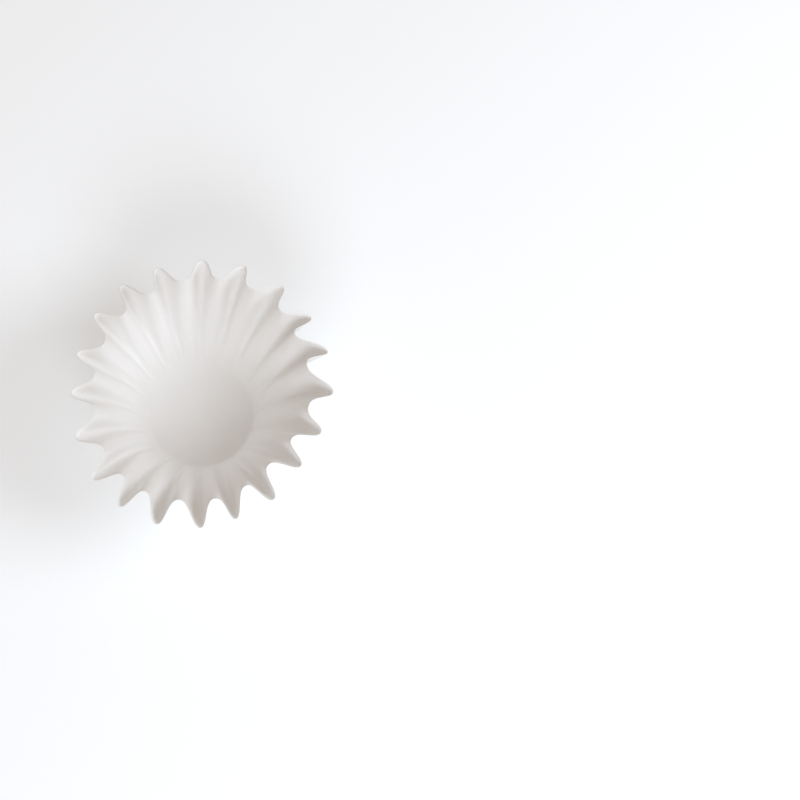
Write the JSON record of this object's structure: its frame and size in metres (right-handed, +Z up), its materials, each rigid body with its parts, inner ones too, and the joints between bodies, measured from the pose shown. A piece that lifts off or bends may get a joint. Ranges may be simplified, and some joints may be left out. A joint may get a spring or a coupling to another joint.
{
  "type": "paper coffee filter",
  "caption": "Fluted flat-bottomed paper coffee filter: one round sheet of creped white paper pressed into a flaring bowl with a waved wall and a flat base.",
  "frame": {"origin": "centre of the flat base's underside, on the surface that the filter stands on", "axes": "+Z up along the filter's axis; +X through the outer crest of one flute; +Y through the outer crest of another, a quarter turn on"},
  "size_m": [0.1202, 0.1202, 0.0625],
  "materials": {
    "paper": "matt creped bleached paper"
  },
  "bodies": {
    "root": {"filter_paper": "paper"}
  },
  "joints": []
}
